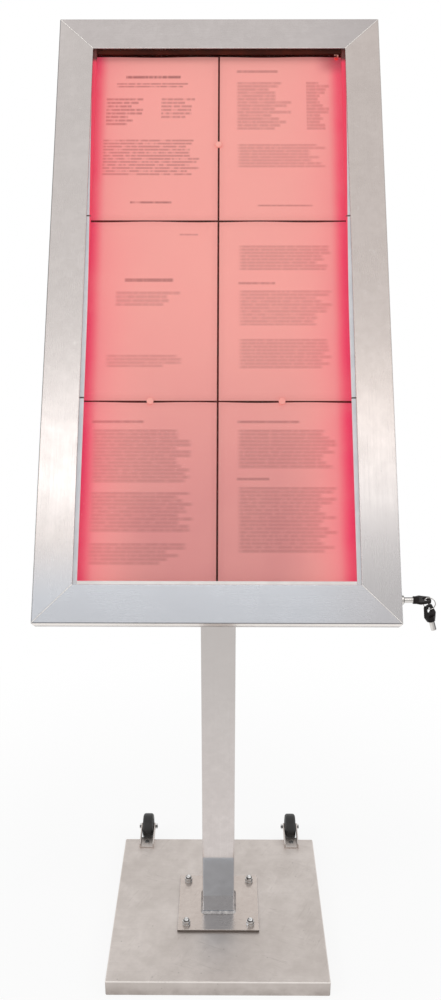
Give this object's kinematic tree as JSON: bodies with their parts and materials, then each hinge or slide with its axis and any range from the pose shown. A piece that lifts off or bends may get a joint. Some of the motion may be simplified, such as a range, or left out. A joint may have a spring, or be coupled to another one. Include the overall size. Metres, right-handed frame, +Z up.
{
  "type": "menu display case",
  "caption": "Free-standing menu display case: a tilted, edge-lit steel case with a hinged, lockable glazed door on a post, with a weighted base and tilt-and-roll wheels.",
  "frame": {"origin": "on the floor under the middle of the square base", "axes": "+Z up, +X to the reader's right, -Y towards the reader"},
  "size_m": [0.5701, 0.5846, 1.5997],
  "materials": {
    "stainless_sheet": "brushed, smudged",
    "plain_steel": "zinc plated",
    "fasteners": "bright",
    "weld": "ground weld",
    "ballast": "primed",
    "tyre": "matte",
    "wheel_hub": "moulded",
    "board": "dark lacquer",
    "paper": "paper in red light",
    "magnet": "clear plastic",
    "aluminium_rail": "mill",
    "lamp_strip": "lamp board",
    "lamp_lens": "frosted",
    "driver_case": "moulded",
    "hook_plastic": "moulded",
    "pane": "clear",
    "glazing_bead": "satin",
    "glazing_bead_dark": "satin",
    "seal": "foam",
    "lock_metal": "nickel plated",
    "key_steel": "nickel plated",
    "key_plastic": "moulded"
  },
  "bodies": {
    "stand": {"base_cover": "stainless_sheet", "base_ballast": "ballast", "stud_spacers": "plain_steel", "flange_studs": "fasteners", "flange_washers": "fasteners", "flange_dome_nuts": "fasteners", "column_flange": "stainless_sheet", "column_tube": "stainless_sheet", "column_welds": "weld", "head_plate": "stainless_sheet", "head_screws": "fasteners", "head_nuts": "fasteners", "caster_bracket_left": "plain_steel", "caster_bracket_right": "plain_steel", "caster_axles": "fasteners", "caster_nuts": "fasteners", "caster_rivets": "fasteners", "housing_back": "stainless_sheet", "housing_walls": "stainless_sheet", "housing_rim": "stainless_sheet", "back_board": "board", "board_spacers": "fasteners", "board_screws": "fasteners", "menu_sheets": "paper", "sheet_magnets": "magnet", "led_rail_left": "aluminium_rail", "led_rail_right": "aluminium_rail", "led_strips": "lamp_strip", "led_lenses": "lamp_lens", "led_driver": "driver_case", "cable_gland": "driver_case", "lead_hook": "hook_plastic", "hinge_leaves_housing": "plain_steel", "hinge_pins": "fasteners", "strike_plate": "plain_steel"},
    "door": {"door_stile_left": "stainless_sheet", "door_stile_right": "stainless_sheet", "door_rail_top": "stainless_sheet", "door_rail_bottom": "stainless_sheet", "door_pane": "pane", "glazing_bead_sides": "glazing_bead", "glazing_bead_top": "glazing_bead_dark", "glazing_bead_bottom": "glazing_bead", "pane_clips": "plain_steel", "door_seal": "seal", "hinge_leaves_door": "plain_steel", "lock_body": "lock_metal", "lock_nut": "lock_metal"},
    "lock": {"lock_plug": "lock_metal", "lock_cam": "lock_metal", "cam_screw": "fasteners"},
    "key": {"key_bow": "key_plastic", "key_tube": "key_steel"},
    "ring": {"key_ring": "key_steel"},
    "spare_key": {"spare_key_bow": "key_plastic", "spare_key_tube": "key_steel"},
    "wheel_left": {"caster_wheel_left": "wheel_hub", "caster_tyre_left": "tyre"},
    "wheel_right": {"caster_wheel_right": "wheel_hub", "caster_tyre_right": "tyre"}
  },
  "joints": [
    {"name": "door_hinge", "type": "hinge", "parent": "stand", "child": "door", "pos_m": [-0.2589, -0.02759, 1.18277], "axis": [0, -0.5678, -0.8231], "range_deg": [0, 110]},
    {"name": "lock_turn", "type": "hinge", "parent": "door", "child": "lock", "pos_m": [0.257, -0.29577, 0.81198], "axis": [1, 0, 0], "range_deg": [0, 90]},
    {"name": "key_pull", "type": "slide", "parent": "lock", "child": "key", "axis": [1, 0, 0], "range_m": [0, 0.02]},
    {"name": "ring_swing", "type": "hinge", "parent": "key", "child": "ring", "pos_m": [0.2967, -0.29577, 0.80678], "axis": [0.342, 0.9397, 0], "range_deg": [-25, 25]},
    {"name": "spare_key_swing", "type": "hinge", "parent": "ring", "child": "spare_key", "pos_m": [0.2967, -0.29577, 0.79688], "axis": [0.5621, -0.809, 0.1719], "range_deg": [-20, 20]},
    {"name": "wheel_left_spin", "type": "hinge", "parent": "stand", "child": "wheel_left", "pos_m": [-0.153, 0.23, 0.04], "axis": [1, 0, 0], "continuous": true},
    {"name": "wheel_right_spin", "type": "hinge", "parent": "stand", "child": "wheel_right", "pos_m": [0.153, 0.23, 0.04], "axis": [1, 0, 0], "continuous": true}
  ]
}
